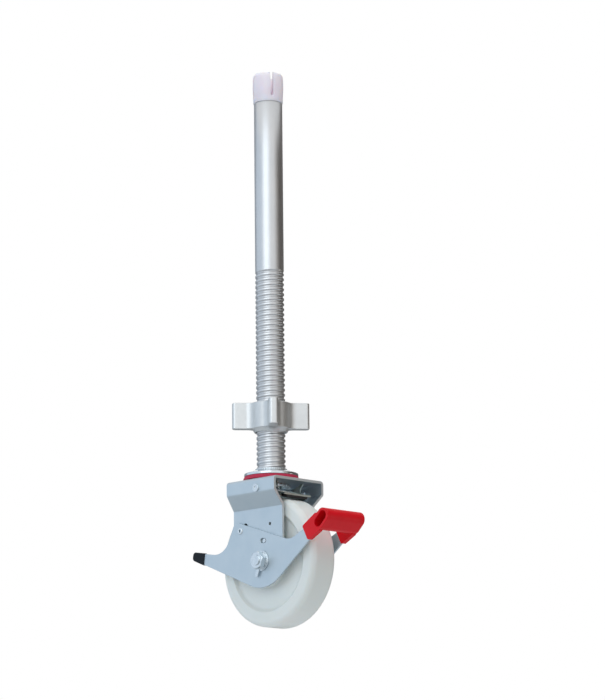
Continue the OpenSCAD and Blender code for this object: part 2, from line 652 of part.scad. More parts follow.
// A round wire swept along points that lie close together
module wire(path, r, sides) {
    n = len(path);
    dirs = [for (i = [0 : n - 1]) unit(path[min(i + 1, n - 1)] - path[max(i - 1, 0)])];
    rings = [for (i = [0 : n - 1]) let (u = unit(cross(dirs[i], [0, 0, 1])), w = cross(u, dirs[i]))
        each [for (k = [0 : sides - 1]) path[i] + r * (cos(360 * k / sides) * u + sin(360 * k / sides) * w)]];
    polyhedron(rings, concat([[for (k = [0 : sides - 1]) k]],
        [for (i = [0 : n - 2], k = [0 : sides - 1]) let (m = (k + 1) % sides)
            [i * sides + k, (i + 1) * sides + k, (i + 1) * sides + m, i * sides + m]],
        [[for (k = [sides - 1 : -1 : 0]) (n - 1) * sides + k]]), convexity = 10);
}

stem_tube();
stem_plug();
stem_foot();
kingpin();
head_cup();
seal_ring();
thrust_washer();
lock_ring();
kingpin_washer();
kingpin_nut();
collar_nut();
fork();
crown_race();
swivel_balls();
swivel_bush();
stop_studs();
axle_bolt();
axle_nut();
axle_washers();
tab_washer();
axle_sleeve();
pivot_bushes();
bearing_inner();
lever_pin();
pin_collars();
return_spring();
wheel();
bearing_outer();
bearing_balls();
bearing_seals();
brake_plate_near();
brake_plate_far();
drive_rivets();
tail_caps();
brake_pedal();
brake_lever();
brake_shoe();
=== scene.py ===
"""Looks of the scaffold castor, piece by piece, in the frame that the CAD set.

Lengths in the dataclasses are in millimetres, as in the CAD source. Blender's are in metres.
"""

import json
import logging
import math
from dataclasses import dataclass, field
from enum import Enum

import bmesh
import bpy
from mathutils import Matrix, Vector


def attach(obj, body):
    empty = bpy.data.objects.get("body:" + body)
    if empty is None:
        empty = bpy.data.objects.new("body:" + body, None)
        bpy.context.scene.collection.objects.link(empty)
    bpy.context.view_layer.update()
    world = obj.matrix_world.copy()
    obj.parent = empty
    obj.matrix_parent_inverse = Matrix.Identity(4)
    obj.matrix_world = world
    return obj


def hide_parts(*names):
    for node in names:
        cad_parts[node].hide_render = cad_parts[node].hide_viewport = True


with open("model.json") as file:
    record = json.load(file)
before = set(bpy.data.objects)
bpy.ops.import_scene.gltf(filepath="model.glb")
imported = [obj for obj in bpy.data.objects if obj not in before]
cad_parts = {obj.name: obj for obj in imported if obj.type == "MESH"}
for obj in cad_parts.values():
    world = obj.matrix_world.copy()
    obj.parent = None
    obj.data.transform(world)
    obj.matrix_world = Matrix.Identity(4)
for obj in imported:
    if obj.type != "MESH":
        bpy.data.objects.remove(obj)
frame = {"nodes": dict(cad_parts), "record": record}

LOG = logging.getLogger("castor")
MM = 0.001
Pair = tuple[float, float]
Profile = tuple[Pair, ...]
# Painted shade: dark colour that ambient occlusion mixes into tight corners, where shade falls.
CORNER_SHADE_TONE = "#3E3833"
# Edges of pressed sheet that turn less than this are its bends, and stay as they are.
BEND_DEG = 40.0


# Small tools


def linear(code: str) -> tuple[float, float, float, float]:
    """Turn an sRGB hex colour into the linear values that a shader wants.

    Args:
        code: Colour such as "#A9BFD3".

    Returns:
        Linear red, green, blue and an alpha of one.
    """
    parts = [int(code[i:i + 2], 16) / 255 for i in (1, 3, 5)]
    red, green, blue = (p / 12.92 if p <= 0.04045 else ((p + 0.055) / 1.055) ** 2.4 for p in parts)
    return red, green, blue, 1.0


def add(tree: bpy.types.NodeTree, kind: str, inputs: dict | None = None, **settings) -> bpy.types.Node:
    """Add a node with its settings, constants and links.

    Args:
        tree: Shader or geometry tree that takes the node.
        kind: Node type name.
        inputs: Input name or index, with a constant or the socket that feeds it.
        **settings: Attributes of the node itself.

    Returns:
        The new node.
    """
    item = tree.nodes.new(kind)
    for key, value in settings.items():
        setattr(item, key, value)
    for key, value in (inputs or {}).items():
        if isinstance(value, bpy.types.NodeSocket):
            tree.links.new(value, item.inputs[key])
        else:
            item.inputs[key].default_value = value
    return item


def blend(tree: bpy.types.NodeTree, share, one, two) -> bpy.types.NodeSocket:
    """Mix two colours.

    Args:
        tree: Tree that gets the node.
        share: Share of the second colour, as a number or a socket.
        one: First colour, as a value or a socket.
        two: Second colour, as a value or a socket.

    Returns:
        The mixed colour.
    """
    node = add(tree, "ShaderNodeMix", {0: share}, data_type="RGBA")
    for socket, value in zip([s for s in node.inputs if s.type == "RGBA"], (one, two)):
        if isinstance(value, bpy.types.NodeSocket):
            tree.links.new(value, socket)
        else:
            socket.default_value = value
    return [s for s in node.outputs if s.type == "RGBA"][0]


def spread(first: float, last: float, count: int) -> list[float]:
    """Share a stretch evenly.

    Args:
        first: Where it starts.
        last: Where it ends.
        count: Number of values.

    Returns:
        The values, both ends with them.
    """
    return [first + (last - first) * k / (count - 1) for k in range(count)]


def link_object(name: str, mesh: bpy.types.Mesh) -> bpy.types.Object:
    """Put a mesh into the scene as an object at the origin.

    Args:
        name: Name of the piece.
        mesh: Its mesh, in place.

    Returns:
        The new object.
    """
    mesh.name = name
    obj = bpy.data.objects.new(name, mesh)
    bpy.context.scene.collection.objects.link(obj)
    return obj


def bake(obj: bpy.types.Object) -> bpy.types.Object:
    """Replace an object's live modifiers with the mesh that they give.

    Args:
        obj: Object with modifiers.

    Returns:
        The same object, with a plain mesh.
    """
    graph = bpy.context.evaluated_depsgraph_get()
    mesh = bpy.data.meshes.new_from_object(obj.evaluated_get(graph))
    obj.modifiers.clear()
    old = obj.data
    obj.data = mesh
    mesh.name = obj.name
    bpy.data.meshes.remove(old)
    return obj


def merged(source: bpy.types.Mesh, flat_deg: float = 0.4) -> bpy.types.Mesh:
    """Copy a CAD mesh with its doubles merged and its flat faces made whole.

    Args:
        source: Triangulated mesh from the CAD.
        flat_deg: Largest angle between triangles that still form one flat face.

    Returns:
        A new mesh with smooth shading and no stored normals.
    """
    shape = bmesh.new()
    shape.from_mesh(source)
    bmesh.ops.remove_doubles(shape, verts=shape.verts, dist=2e-6)
    bmesh.ops.dissolve_degenerate(shape, dist=1e-7, edges=shape.edges)
    bmesh.ops.dissolve_limit(shape, angle_limit=math.radians(flat_deg), verts=shape.verts, edges=shape.edges)
    bmesh.ops.recalc_face_normals(shape, faces=shape.faces)
    shape.verts.index_update()
    mesh = bpy.data.meshes.new(source.name)
    mesh.from_pydata([v.co.copy() for v in shape.verts], [],
                     [[v.index for v in f.verts] for f in shape.faces])
    shape.free()
    mesh.polygons.foreach_set("use_smooth", [True] * len(mesh.polygons))
    return mesh


def lathe(profile: list[Pair], sides: int, closed: bool = True) -> bmesh.types.BMesh:
    """Turn a profile about the Z axis.

    Args:
        profile: Points (radius, height) in millimetres.
        sides: Number of sides round the axis.
        closed: Whether the last point joins the first.

    Returns:
        A bmesh that the caller frees.
    """
    shape = bmesh.new()
    rows = []
    for radius, height in profile:
        rows.append([shape.verts.new((radius * MM * math.cos(math.tau * k / sides),
                                      radius * MM * math.sin(math.tau * k / sides), height * MM))
                     for k in range(sides)])
    count = len(rows) if closed else len(rows) - 1
    for i in range(count):
        low, high = rows[i], rows[(i + 1) % len(rows)]
        for k in range(sides):
            m = (k + 1) % sides
            shape.faces.new((low[k], low[m], high[m], high[k]))
    return shape


def finish_mesh(shape: bmesh.types.BMesh, name: str, sharp_deg: float = 40.0) -> bpy.types.Mesh:
    """Merge a bmesh, turn its faces outwards and write it as a smooth mesh.

    Args:
        shape: Bmesh, which is freed.
        name: Name of the mesh.
        sharp_deg: Edges that turn more than this stay sharp.

    Returns:
        The mesh.
    """
    bmesh.ops.remove_doubles(shape, verts=shape.verts, dist=2e-6)
    bmesh.ops.recalc_face_normals(shape, faces=shape.faces)
    mesh = bpy.data.meshes.new(name)
    shape.to_mesh(mesh)
    shape.free()
    mesh.polygons.foreach_set("use_smooth", [True] * len(mesh.polygons))
    mesh.set_sharp_from_angle(angle=math.radians(sharp_deg))
    return mesh


def copies(mesh: bpy.types.Mesh, places: list[Matrix]) -> bmesh.types.BMesh:
    """Join copies of a mesh, each at its own place.

    Args:
        mesh: Mesh to repeat.
        places: One matrix for each copy.

    Returns:
        A bmesh that the caller frees.
    """
    shape = bmesh.new()
    for place in places:
        part = mesh.copy()
        part.transform(place)
        shape.from_mesh(part)
        bpy.data.meshes.remove(part)
    return shape


def grow(tree: bpy.types.GeometryNodeTree, name: str, values: dict) -> bpy.types.Object:
    """Run a geometry tree once and keep its mesh as a plain object.

    Args:
        tree: Tree with named inputs.
        name: Name of the piece.
        values: Input name and value.

    Returns:
        The object, without its modifier.
    """
    obj = link_object(name, bpy.data.meshes.new(name))
    modifier = obj.modifiers.new(name, "NODES")
    modifier.node_group = tree
    for item in tree.interface.items_tree:
        if item.item_type == "SOCKET" and item.in_out == "INPUT" and item.name in values:
            modifier[item.identifier] = values[item.name]
    return bake(obj)


def new_tree(name: str, inputs: dict[str, str]) -> tuple[bpy.types.GeometryNodeTree, dict, bpy.types.Node]:
    """Start a geometry tree with named inputs.

    Args:
        name: Name of the tree.
        inputs: Input name and socket kind, such as "Float".

    Returns:
        The tree, its input sockets by name, and the output node.
    """
    tree = bpy.data.node_groups.new(name, "GeometryNodeTree")
    tree.interface.new_socket("Geometry", in_out="OUTPUT", socket_type="NodeSocketGeometry")
    for label, kind in inputs.items():
        tree.interface.new_socket(label, in_out="INPUT", socket_type=f"NodeSocket{kind}")
    source = add(tree, "NodeGroupInput")
    target = add(tree, "NodeGroupOutput")
    return tree, {label: source.outputs[label] for label in inputs}, target


def math_node(tree: bpy.types.NodeTree, operation: str, *values) -> bpy.types.NodeSocket:
    """Add one step of arithmetic and give its result.

    Args:
        tree: Tree that takes the node.
        operation: Name of the operation.
        *values: Constants or sockets, in order.

    Returns:
        The result's socket.
    """
    return add(tree, "ShaderNodeMath", dict(enumerate(values)), operation=operation).outputs[0]


def close_tree(tree: bpy.types.GeometryNodeTree, geometry: bpy.types.NodeSocket,
               material: bpy.types.NodeSocket, target: bpy.types.Node) -> None:
    """End a tree in real geometry with its material.

    Args:
        tree: Tree to end.
        geometry: What the tree has made.
        material: Material input.
        target: Output node.
    """
    real = add(tree, "GeometryNodeRealizeInstances", {"Geometry": geometry})
    smooth = add(tree, "GeometryNodeSetShadeSmooth", {"Geometry": real.outputs[0]})
    painted = add(tree, "GeometryNodeSetMaterial", {"Geometry": smooth.outputs[0], "Material": material})
    tree.links.new(painted.outputs[0], target.inputs[0])


# Finishes


class Grain(Enum):
    """Direction of a surface's fine texture."""

    EVEN = (1.0, 1.0, 1.0)
    ALONG_STEM = (1.0, 1.0, 0.03)
    ROLLED = (0.06, 1.0, 1.0)


@dataclass(frozen=True)
class Finish:
    """A surface as the workshop leaves it.

    Attributes:
        slot: Material slot of the record.
        tone: Main colour.
        shade: Colour of the soft clouds in it.
        rough: Middle roughness.
        spread: How far the roughness wanders.
        cloud: Size of the clouds.
        grain: Size of the fine texture.
        relief: Height of the fine texture.
        run: Direction of the fine texture.
        title: Name of the material where it isn't the slot's.
    """

    slot: str
    tone: str
    shade: str
    rough: float = 0.4
    spread: float = 0.05
    cloud: float = 14.0
    grain: float = 0.5
    relief: float = 0.01
    run: Grain = Grain.EVEN
    title: str = ""

    @property
    def name(self) -> str:
        """Name of the material."""
        return self.title or self.slot

    def build(self) -> bpy.types.Material:
        """Make the material.

        Returns:
            The material, named for its finish.
        """
        material = bpy.data.materials.new(self.name)
        material.use_nodes = True
        tree = material.node_tree
        tree.nodes.clear()
        shader = add(tree, "ShaderNodeBsdfPrincipled")
        add(tree, "ShaderNodeOutputMaterial", {"Surface": shader.outputs[0]})
        place = add(tree, "ShaderNodeTexCoord").outputs["Object"]
        cloud = add(tree, "ShaderNodeTexNoise", {"Vector": place, "Scale": 1 / (self.cloud * MM), "Detail": 3.0})
        stretched = add(tree, "ShaderNodeMapping", {"Vector": place, "Scale": self.run.value})
        grain = add(tree, "ShaderNodeTexNoise",
                    {"Vector": stretched.outputs[0], "Scale": 1 / (self.grain * MM), "Detail": 2.0})
        colour = blend(tree, cloud.outputs[0], linear(self.tone), linear(self.shade))
        tree.links.new(colour, shader.inputs["Base Color"])
        rough = add(tree, "ShaderNodeMapRange", {"Value": grain.outputs[0], "To Min": self.rough - self.spread,
                                                 "To Max": self.rough + self.spread})
        tree.links.new(rough.outputs[0], shader.inputs["Roughness"])
        bump = add(tree, "ShaderNodeBump", {"Height": grain.outputs[0], "Strength": 0.6,
                                            "Distance": self.relief * MM})
        tree.links.new(bump.outputs[0], shader.inputs["Normal"])
        self.tune(shader)
        return material

    def tune(self, shader: bpy.types.Node) -> None:
        """Set what a kind of material has of its own.

        Args:
            shader: The material's shader.
        """


@dataclass(frozen=True)
class Metal(Finish):
    """A metal surface.

    Attributes:
        corner_shade: How strongly painted shade darkens tight corners, which ambient occlusion finds.
        front_highlight: Lighter colour painted as a highlight on faces that look along +X, the sheet's cut edges at
            the front among them; none if empty.
    """

    corner_shade: float = 0.0
    front_highlight: str = ""

    def tune(self, shader: bpy.types.Node) -> None:
        """Make the shader a metal, paint shade into its corners and paint a highlight on its faces that look along
        +X.

        Args:
            shader: The material's shader.
        """
        tree = shader.id_data
        base = shader.inputs["Base Color"]
        shader.inputs["Metallic"].default_value = 1.0
        if self.corner_shade:
            # Painted shade: the less ambient occlusion sees, the more the base colour turns to the dark tone.
            corner = add(tree, "ShaderNodeAmbientOcclusion", {"Distance": 2.5 * MM}, samples=8, only_local=True)
            share = add(tree, "ShaderNodeMapRange", {"Value": corner.outputs["AO"], "From Min": 0.45,
                                                     "From Max": 0.95, "To Min": self.corner_shade, "To Max": 0.0})
            tree.links.new(blend(tree, share.outputs[0], base.links[0].from_socket, linear(CORNER_SHADE_TONE)), base)
        if self.front_highlight:
            # Painted highlight: faces that look along +X get a lighter colour and less metallic shine.
            normal = add(tree, "ShaderNodeTexCoord").outputs["Normal"]
            ahead = add(tree, "ShaderNodeVectorMath", {0: normal, 1: (1.0, 0.0, 0.0)}, operation="DOT_PRODUCT")
            share = add(tree, "ShaderNodeMapRange", {"Value": ahead.outputs["Value"], "From Min": 0.8,
                                                     "From Max": 0.92})
            tree.links.new(blend(tree, share.outputs[0], base.links[0].from_socket, linear(self.front_highlight)), base)
            bare = add(tree, "ShaderNodeMapRange", {"Value": share.outputs[0], "To Min": 1.0, "To Max": 0.5})
            tree.links.new(bare.outputs[0], shader.inputs["Metallic"])


@dataclass(frozen=True)
class Plastic(Finish):
    """A moulded plastic or rubber surface.

    Attributes:
        glow: Share of the light that goes through the skin.
        depth: How far that light goes.
        gloss: Strength of the mirrored light, half being plain plastic.
    """

    glow: float = 0.0
    depth: float = 3.0
    gloss: float = 0.5

    def tune(self, shader: bpy.types.Node) -> None:
        """Set skin, depth and gloss.

        Args:
            shader: The material's shader.
        """
        shader.inputs["Subsurface Weight"].default_value = self.glow
        shader.inputs["Subsurface Radius"].default_value = (1.0, 0.9, 0.8)
        shader.inputs["Subsurface Scale"].default_value = self.depth * MM
        shader.inputs["Specular IOR Level"].default_value = self.gloss


# Drawn tube under satin zinc: faint lines along the stem stretch the highlight up and down. Painted shade darkens
# the thread's valleys.
STEM_STEEL = Metal("stem_steel", "#D2D3D4", "#C4C7CA", 0.37, 0.05, 30.0, 0.5, 0.012, Grain.ALONG_STEM, corner_shade=0.8)
# Milky polyamide, thin enough at the fingers to let light through.
PLUG_PLASTIC = Plastic("plug_plastic", "#FFF1F6", "#FFE8F2", 0.42, 0.05, 12.0, 0.8, 0.02, glow=1.0, depth=8.0)
# Turned bare steel, seen only in gaps.
DARK_STEEL = Metal("dark_steel", "#8A8A8A", "#747474", 0.4, 0.06, 10.0, 0.4)
# Bright zinc on turned and stamped fasteners: tight highlights with a little colour drift.
BRIGHT_ZINC = Metal("bright_zinc", "#E2E7EA", "#C8D2D8", 0.19, 0.06, 6.0, 0.4, 0.008)
# Phosphated steel of the brake lever: dull grey with a green cast that swallows light.
PHOSPHATE = Metal("bright_zinc", "#B9C2BE", "#A6B0AB", 0.4, 0.08, 6.0, 0.4, 0.02, title="phosphate_steel")
# Blue zinc on rolled sheet: broad soft sheen, slightly cloudy, with a painted highlight on faces that look along +X.
SHEET_ZINC = Metal("sheet_zinc", "#C9D3D9", "#BAC8D1", 0.48, 0.06, 22.0, 0.6, 0.01, Grain.ROLLED,
                   front_highlight="#CDD3D4")
# Tumbled aluminium casting: even, fine sand grain.
NUT_CAST = Metal("nut_cast", "#DADCDC", "#CACDCE", 0.45, 0.05, 9.0, 0.7, 0.015)
# Moulded seal, dull crimson.
SEAL_RED = Plastic("seal_red", "#CC3352", "#B82244", 0.5, 0.06, 10.0, 0.5, 0.02, gloss=0.3)
# Sintered bronze, open pores.
BRONZE = Metal("bronze", "#A8824E", "#8F6B3C", 0.45, 0.08, 5.0, 0.4, 0.02)
# Ground bearing steel, near mirror.
BEARING_STEEL = Metal("bearing_steel", "#D4D6D8", "#C6C9CC", 0.12, 0.03, 8.0, 0.3, 0.002)
# Drawn spring wire.
SPRING_STEEL = Metal("spring_steel", "#C4C7CA", "#AEB2B6", 0.3, 0.05, 4.0, 0.3, 0.006)
# Cast natural polyamide: off-white, light sinks in a few millimetres.
NYLON = Plastic("nylon", "#F7FAF4", "#F1F6F0", 0.36, 0.05, 40.0, 1.2, 0.02, glow=0.4, depth=6.0, gloss=0.4)
# Moulded black rubber of the shoe.
RUBBER = Plastic("rubber", "#1C1C1E", "#262628", 0.7, 0.08, 8.0, 0.5, 0.05)
# Dipped soft plastic grip, blue-black.
BLACK_GRIP = Plastic("black_grip", "#060E14", "#0C161E", 0.34, 0.06, 10.0, 0.7, 0.03, gloss=0.2)
# Injection-moulded red polyamide with a light sheen.
PEDAL_RED = Plastic("pedal_red", "#F00C20", "#E0081A", 0.4, 0.05, 16.0, 0.7, 0.03, gloss=0.2)


# Workshop


@dataclass
class Workshop:
    """Makes pieces from CAD nodes and gives each its finish, slot and body.

    Attributes:
        bodies: Body of each CAD node.
        made: Materials made so far, by name.
        pieces: Names of the pieces made so far.
    """

    bodies: dict[str, str]
    made: dict[str, bpy.types.Material] = field(default_factory=dict)
    pieces: list[str] = field(default_factory=list)

    def material(self, finish: Finish) -> bpy.types.Material:
        """Give a finish's material and make it the first time.

        Args:
            finish: The finish.

        Returns:
            Its material.
        """
        if finish.name not in self.made:
            self.made[finish.name] = finish.build()
        return self.made[finish.name]

    def paint(self, obj: bpy.types.Object, finish: Finish) -> None:
        """Give an object one material.

        Args:
            obj: The object.
            finish: Its finish.
        """
        obj.data.materials.clear()
        obj.data.materials.append(self.material(finish))

    def show(self, finish: Finish, *nodes: str) -> None:
        """Show CAD nodes as they are.

        Args:
            finish: Their finish.
            *nodes: CAD nodes.
        """
        for node in nodes:
            self.paint(frame["nodes"][node], finish)
            LOG.info("%s: CAD node on %s", node, self.bodies[node])

    def keep(self, obj: bpy.types.Object, finish: Finish, *nodes: str, body: str = "") -> bpy.types.Object:
        """Take an object into the model in place of CAD nodes, or as an added piece.

        Args:
            obj: The finished object, in place.
            finish: Its finish.
            *nodes: CAD nodes that it replaces.
            body: Body of an added piece.

        Returns:
            The same object.
        """
        self.paint(obj, finish)
        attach(obj, body or self.bodies[nodes[0]])
        if nodes:
            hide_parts(*nodes)
        self.pieces.append(obj.name)
        LOG.info("%s: %d faces, %s on %s", obj.name, len(obj.data.polygons), finish.slot,
                 body or self.bodies[nodes[0]])
        return obj

    def refine(self, node: str, finish: Finish, edge: float, steps: int = 2,
               angle_deg: float = 32.0) -> bpy.types.Object:
        """Replace a CAD node with a copy whose edges are broken as on the real piece.

        Args:
            node: CAD node.
            finish: Its finish.
            edge: Radius of the edges.
            steps: Faces across an edge.
            angle_deg: Edges that turn more than this are rounded.

        Returns:
            The new object.
        """
        obj = link_object(f"{node}_fine", merged(frame["nodes"][node].data))
        if edge > 0:
            bevel = obj.modifiers.new("edge", "BEVEL")
            bevel.width = edge * MM
            bevel.segments = steps
            bevel.limit_method = "ANGLE"
            bevel.angle_limit = math.radians(angle_deg)
        shade = obj.modifiers.new("shade", "WEIGHTED_NORMAL")
        shade.keep_sharp = False
        return self.keep(bake(obj), finish, node)


# Sub-assemblies


@dataclass
class Stem:
    """Threaded leveling stem with its foot, head cup and seal.

    Attributes:
        radius: Outer radius of the tube.
        wall: Thickness of its wall.
        shank: Length of the plain stretch.
        thread: Length of the threaded stretch.
        pitch: Rise of one turn.
        depth: Depth of the thread.
        flank: Heights of the thread's wave between which its flank lies.
        run_out: Share of a turn over which the thread fades at its upper end.
        sides: Faces round the tube.
        rows: Rows of faces in one turn.
        break_edge: Size of the broken edges at the tube's end.
        weld: Radius of the weld bead.
        weld_out: How far the bead's middle stands off the tube.
        ripples: Number of ripples round the bead.
        ripple: Height of a ripple, as a share of the bead.
        drift: Height of the bead's unevenness, as a share of the bead.
        weld_seed: Seed of that unevenness.
        cup_r: Radius of the head cup.
        cup_low: Height of the cup's underside.
        cup_edge: Radius of the cup's edges.
        cup_edge_deg: Edges of the cup that turn more than this are rounded.
        lip: How far the cup's lip hangs below its underside.
        seal: Radius and height of the seal's profile, point by point from its upper outer edge.
    """

    radius: float = 22.5
    wall: float = 4.0
    shank: float = 271.0
    thread: float = 317.0
    pitch: float = 8.0
    depth: float = 1.7
    flank: Pair = (0.16, 0.9)
    run_out: float = 0.8
    sides: int = 96
    rows: int = 14
    break_edge: float = 0.5
    weld: float = 1.5
    weld_out: float = 0.9
    ripples: int = 44
    ripple: float = 0.1
    drift: float = 0.3
    weld_seed: int = 3
    cup_r: float = 42.0
    cup_low: float = -325.0
    cup_edge: float = 0.6
    cup_edge_deg: float = 20.0
    lip: float = 2.4
    seal: Profile = (
        (41.6, -327.7), (43.2, -330.7), (43.8, -332.6), (44.0, -333.4), (43.4, -334.0), (35.5, -334.0),
        (35.5, -325.7))

    def thread_tree(self) -> bpy.types.GeometryNodeTree:
        """Draw the rolled thread as one true helix.

        Returns:
            Tree that bends a grid round the stem, its rows running along the helix.
        """
        tree, pin, target = new_tree("rolled_thread", {
            "Radius": "Float", "Depth": "Float", "Pitch": "Float", "Length": "Float", "Turns": "Int",
            "Columns": "Int", "Rows": "Int", "Material": "Material"})
        span = math_node(tree, "MULTIPLY", pin["Turns"], pin["Pitch"])
        grid = add(tree, "GeometryNodeMeshGrid", {
            "Size X": 1.0, "Size Y": 1.0, "Vertices X": math_node(tree, "ADD", pin["Columns"], 1.0),
            "Vertices Y": math_node(tree, "ADD", math_node(tree, "MULTIPLY", pin["Turns"], pin["Rows"]), 1.0)})
        flat = add(tree, "ShaderNodeSeparateXYZ", {0: add(tree, "GeometryNodeInputPosition").outputs[0]})
        round_part = math_node(tree, "ADD", flat.outputs[0], 0.5)
        down_part = math_node(tree, "ADD", flat.outputs[1], 0.5)
        angle = math_node(tree, "MULTIPLY", round_part, math.tau)
        fall = math_node(tree, "MULTIPLY", down_part, span)
        free = math_node(tree, "SUBTRACT", math_node(tree, "MULTIPLY", round_part, pin["Pitch"]), fall)
        height = math_node(tree, "MAXIMUM", math_node(tree, "MINIMUM", free, 0.0),
                           math_node(tree, "MULTIPLY", pin["Length"], -1.0))
        phase = math_node(tree, "MULTIPLY", math_node(tree, "DIVIDE", fall, pin["Pitch"]), math.tau)
        wave = math_node(tree, "MULTIPLY_ADD", math_node(tree, "COSINE", phase), -0.5, 0.5)
        form = add(tree, "ShaderNodeMapRange", {
            "Value": wave, "From Min": self.flank[0], "From Max": self.flank[1]}, interpolation_type="SMOOTHSTEP")
        run_out = add(tree, "ShaderNodeMapRange", {
            "Value": height, "From Min": 0.0, "From Max": math_node(tree, "MULTIPLY", pin["Pitch"], -self.run_out)},
            interpolation_type="SMOOTHSTEP")
        share = math_node(tree, "MULTIPLY", form.outputs[0], run_out.outputs[0])
        cut = math_node(tree, "MULTIPLY", share, pin["Depth"])
        radius = math_node(tree, "SUBTRACT", pin["Radius"], cut)
        place = add(tree, "ShaderNodeCombineXYZ", {
            0: math_node(tree, "MULTIPLY", radius, math_node(tree, "COSINE", angle)),
            1: math_node(tree, "MULTIPLY", radius, math_node(tree, "SINE", angle)), 2: height})
        bent = add(tree, "GeometryNodeSetPosition", {"Geometry": grid.outputs[0], "Position": place.outputs[0]})
        whole = add(tree, "GeometryNodeMergeByDistance", {"Geometry": bent.outputs[0], "Distance": 1e-6})
        close_tree(tree, whole.outputs[0], pin["Material"], target)
        return tree

    def weld_tree(self) -> bpy.types.GeometryNodeTree:
        """Draw the weld bead between tube and cup, with its ripples.

        Returns:
            Tree that sweeps a bead round the stem and ripples it.
        """
        tree, pin, target = new_tree("weld_bead", {
            "Ring Radius": "Float", "Bead Radius": "Float", "Ripples": "Int", "Seed": "Int", "Material": "Material"})
        ring = add(tree, "GeometryNodeCurvePrimitiveCircle", {"Resolution": 360, "Radius": pin["Ring Radius"]})
        bead = add(tree, "GeometryNodeCurvePrimitiveCircle", {"Resolution": 14, "Radius": pin["Bead Radius"]})
        swept = add(tree, "GeometryNodeCurveToMesh", {"Curve": ring.outputs[0], "Profile Curve": bead.outputs[0]})
        spot = add(tree, "ShaderNodeSeparateXYZ", {0: add(tree, "GeometryNodeInputPosition").outputs[0]})
        angle = math_node(tree, "ARCTAN2", spot.outputs[1], spot.outputs[0])
        ripple = math_node(tree, "SINE", math_node(tree, "MULTIPLY", angle, pin["Ripples"]))
        drift = add(tree, "ShaderNodeTexNoise", {"Scale": 180.0, "W": pin["Seed"]}, noise_dimensions="4D")
        uneven = math_node(tree, "MULTIPLY", drift.outputs[0], self.drift)
        size = math_node(tree, "MULTIPLY_ADD", ripple, self.ripple, uneven)
        lift = math_node(tree, "MULTIPLY", size, pin["Bead Radius"])
        push = add(tree, "ShaderNodeVectorMath", {0: add(tree, "GeometryNodeInputNormal").outputs[0], "Scale": lift},
                   operation="SCALE")
        moved = add(tree, "GeometryNodeSetPosition", {"Geometry": swept.outputs[0], "Offset": push.outputs[0]})
        close_tree(tree, moved.outputs[0], pin["Material"], target)
        return tree

    def build(self, shop: Workshop) -> None:
        """Build the stem's pieces.

        Args:
            shop: Workshop that takes them.
        """
        turns = math.ceil(self.thread / self.pitch) + 1
        helix = grow(self.thread_tree(), "stem_thread", {
            "Radius": self.radius * MM, "Depth": self.depth * MM, "Pitch": self.pitch * MM,
            "Length": self.thread * MM, "Turns": turns, "Columns": self.sides, "Rows": self.rows,
            "Material": shop.material(STEM_STEEL)})
        bore = self.radius - self.wall
        shape = lathe([(self.radius, 0), (self.radius, self.shank / 2), (self.radius, self.shank - self.break_edge),
                       (self.radius - self.break_edge, self.shank), (bore + self.break_edge, self.shank),
                       (bore, self.shank - self.break_edge), (bore, -self.thread)], self.sides, closed=False)
        shape.from_mesh(helix.data)
        old = helix.data
        helix.data = finish_mesh(shape, "stem_tube_fine", 50.0)
        bpy.data.meshes.remove(old)
        helix.name = "stem_tube_fine"
        shop.keep(helix, STEM_STEEL, "stem_tube")
        bead = grow(self.weld_tree(), "stem_weld", {
            "Ring Radius": (self.radius + self.weld_out) * MM, "Bead Radius": self.weld * MM,
            "Ripples": self.ripples, "Seed": self.weld_seed, "Material": shop.material(BRIGHT_ZINC)})
        bead.data.transform(Matrix.Translation((0, 0, -self.thread * MM)))
        shop.keep(bead, BRIGHT_ZINC, body="stem")
        cup = shop.refine("head_cup", BRIGHT_ZINC, self.cup_edge, angle_deg=self.cup_edge_deg)
        for vert in cup.data.vertices:
            if math.hypot(vert.co.x, vert.co.y) > (self.cup_r - 1) * MM and vert.co.z < (self.cup_low + 1) * MM:
                vert.co.z -= self.lip * MM
        seal = lathe(list(self.seal), self.sides)
        shop.keep(link_object("seal_ring_fine", finish_mesh(seal, "seal_ring_fine")), SEAL_RED, "seal_ring")
        shop.show(DARK_STEEL, "stem_foot", "kingpin")


